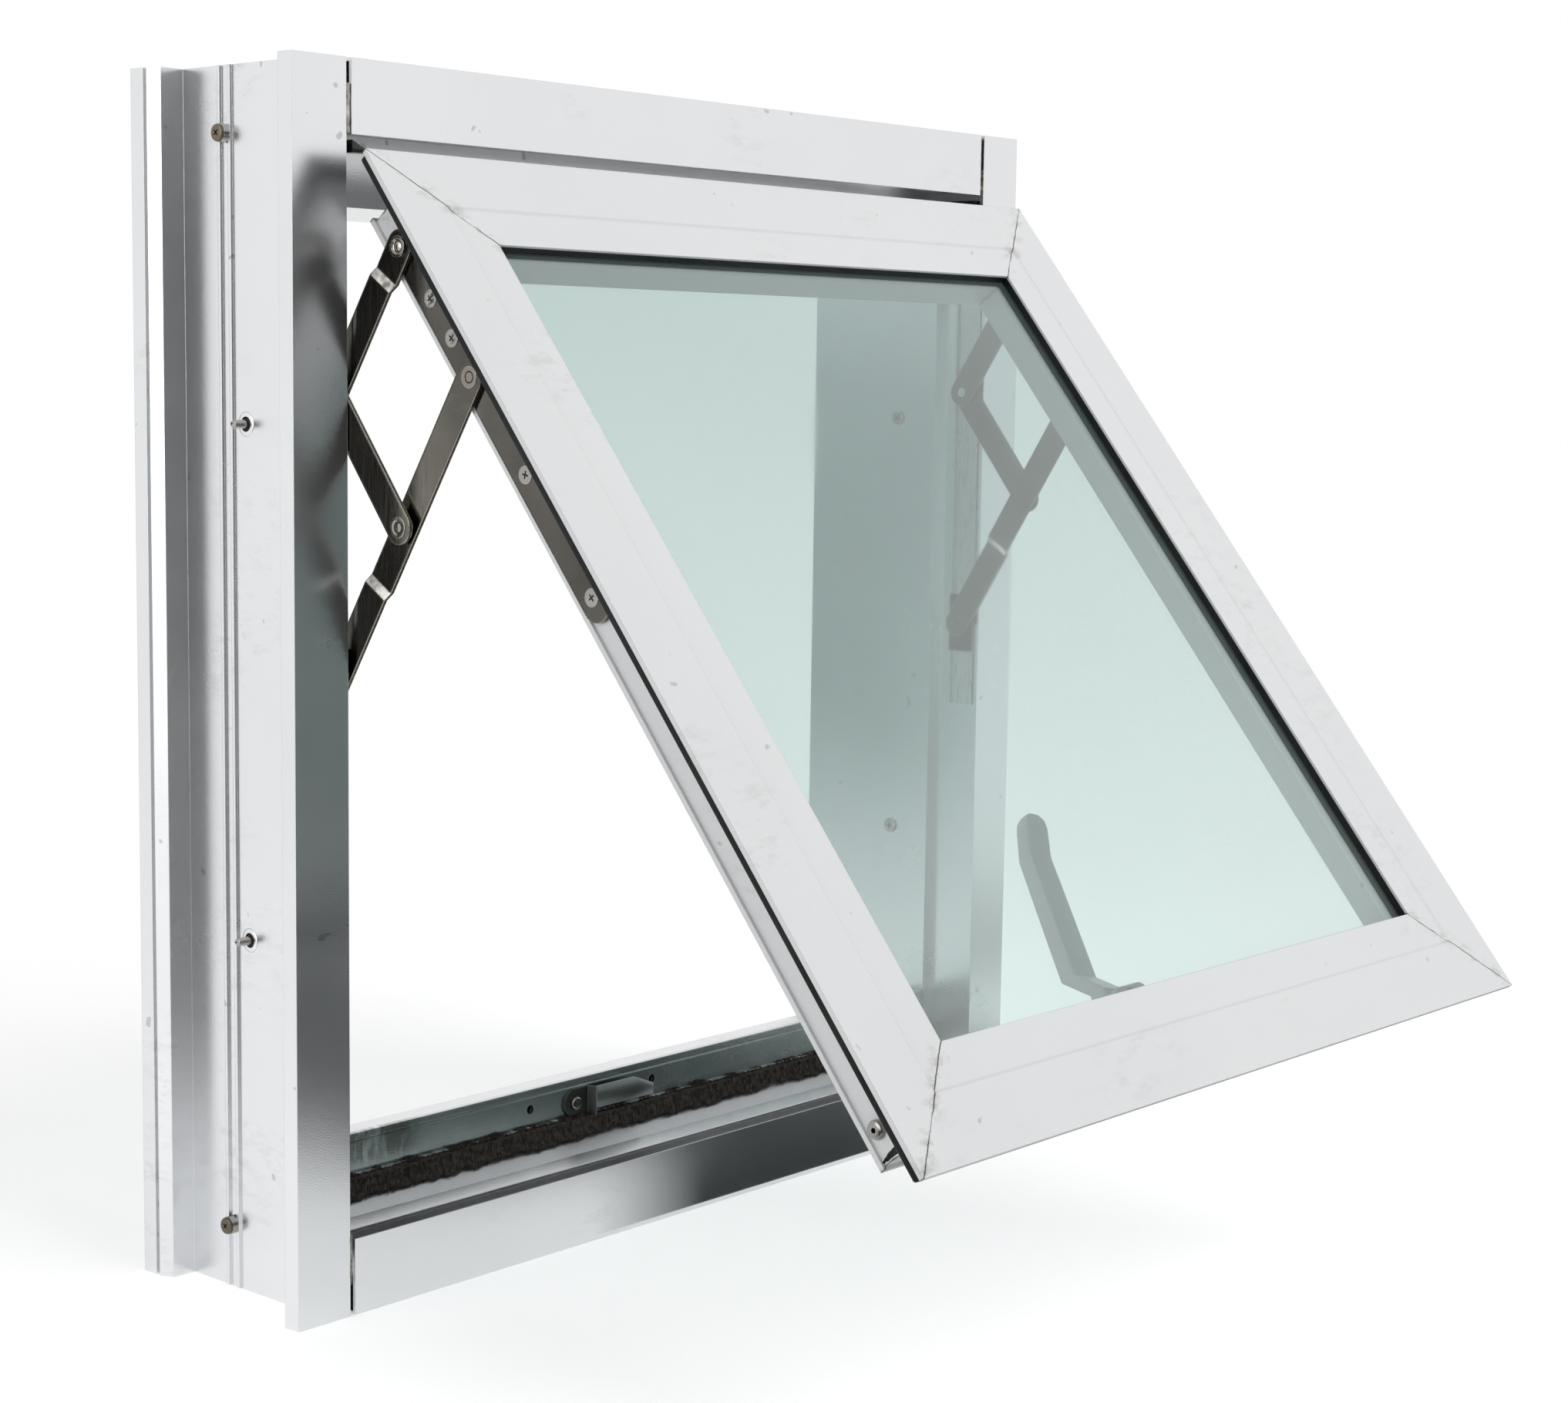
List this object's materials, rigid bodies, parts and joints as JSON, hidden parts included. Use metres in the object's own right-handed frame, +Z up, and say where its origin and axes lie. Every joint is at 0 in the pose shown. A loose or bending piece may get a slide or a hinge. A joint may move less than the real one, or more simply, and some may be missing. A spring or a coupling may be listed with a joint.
{
  "type": "top hung awning window",
  "caption": "Aluminium awning window: a glazed sash hung at the top on friction stays in a deep flanged frame, with a lever handle on its bottom rail.",
  "frame": {"origin": "on the rear face of the sill at mid width", "axes": "+X right seen from outside, +Y into the building, +Z up"},
  "size_m": [0.55, 0.4868, 0.6],
  "materials": {
    "satin_aluminium": "satin",
    "sash_aluminium": "satin",
    "tinted_glass": "clear",
    "black_rubber": "matte",
    "stay_steel": "brushed",
    "screw_steel": "brushed",
    "black_plastic": "matte",
    "pile": "pile",
    "keeper_metal": "satin",
    "handle_metal": "satin"
  },
  "bodies": {
    "frame": {"left_jamb": "satin_aluminium", "right_jamb": "satin_aluminium", "head": "satin_aluminium", "sill": "satin_aluminium", "pile_strip": "pile", "keeper": "keeper_metal", "corner_screws": "screw_steel", "left_stay_track": "stay_steel", "right_stay_track": "stay_steel", "left_track_cap": "black_plastic", "right_track_cap": "black_plastic"},
    "top_links": {"left_top_link": "stay_steel", "right_top_link": "stay_steel"},
    "sash": {"sash_left_stile": "sash_aluminium", "sash_right_stile": "sash_aluminium", "sash_top_rail": "sash_aluminium", "sash_bottom_rail": "sash_aluminium", "glass_pane": "tinted_glass", "outer_glazing_seal": "black_rubber", "inner_glazing_seal": "black_rubber", "weather_gasket": "black_rubber", "top_bead": "sash_aluminium", "bottom_bead": "sash_aluminium", "left_bead": "sash_aluminium", "right_bead": "sash_aluminium", "handle_base": "handle_metal", "left_sash_bar": "stay_steel", "right_sash_bar": "stay_steel"},
    "short_arms": {"left_short_arm": "stay_steel", "right_short_arm": "stay_steel"},
    "main_arms": {"left_main_arm": "stay_steel", "right_main_arm": "stay_steel"},
    "shoes": {"left_shoe": "black_plastic", "right_shoe": "black_plastic"},
    "handle": {"handle_lever": "handle_metal"}
  },
  "joints": [
    {"name": "sash_turn", "type": "hinge", "parent": "top_links", "child": "sash", "pos_m": [0, -0.16057, 0.47309], "axis": [1, 0, 0], "range_deg": [0, 72]},
    {"name": "link_turn", "type": "hinge", "parent": "frame", "child": "top_links", "pos_m": [0, -0.117, 0.406], "axis": [-1, 0, 0], "range_deg": [0, 33.01]},
    {"name": "short_arm_turn", "type": "hinge", "parent": "frame", "child": "short_arms", "pos_m": [0, -0.117, 0.406], "axis": [1, 0, 0], "range_deg": [0, 37.95]},
    {"name": "main_arm_turn", "type": "hinge", "parent": "short_arms", "child": "main_arms", "pos_m": [0, -0.16496, 0.34448], "axis": [-1, 0, 0], "range_deg": [0, 69.94]},
    {"name": "shoe_turn", "type": "hinge", "parent": "main_arms", "child": "shoes", "pos_m": [0, -0.117, 0.26771], "axis": [1, 0, 0], "range_deg": [0, 32]},
    {"name": "handle_turn", "type": "hinge", "parent": "sash", "child": "handle", "pos_m": [-0.02, -0.42329, 0.1261], "axis": [0, 0.7771, -0.6293], "range_deg": [0, 74]}
  ],
  "couplings": [
    {"joint": "link_turn", "follows": "sash_turn", "ratio": 0.45833},
    {"joint": "short_arm_turn", "follows": "sash_turn", "ratio": 0.52693},
    {"joint": "main_arm_turn", "follows": "sash_turn", "ratio": 0.97126},
    {"joint": "shoe_turn", "follows": "sash_turn", "ratio": 0.44433}
  ]
}
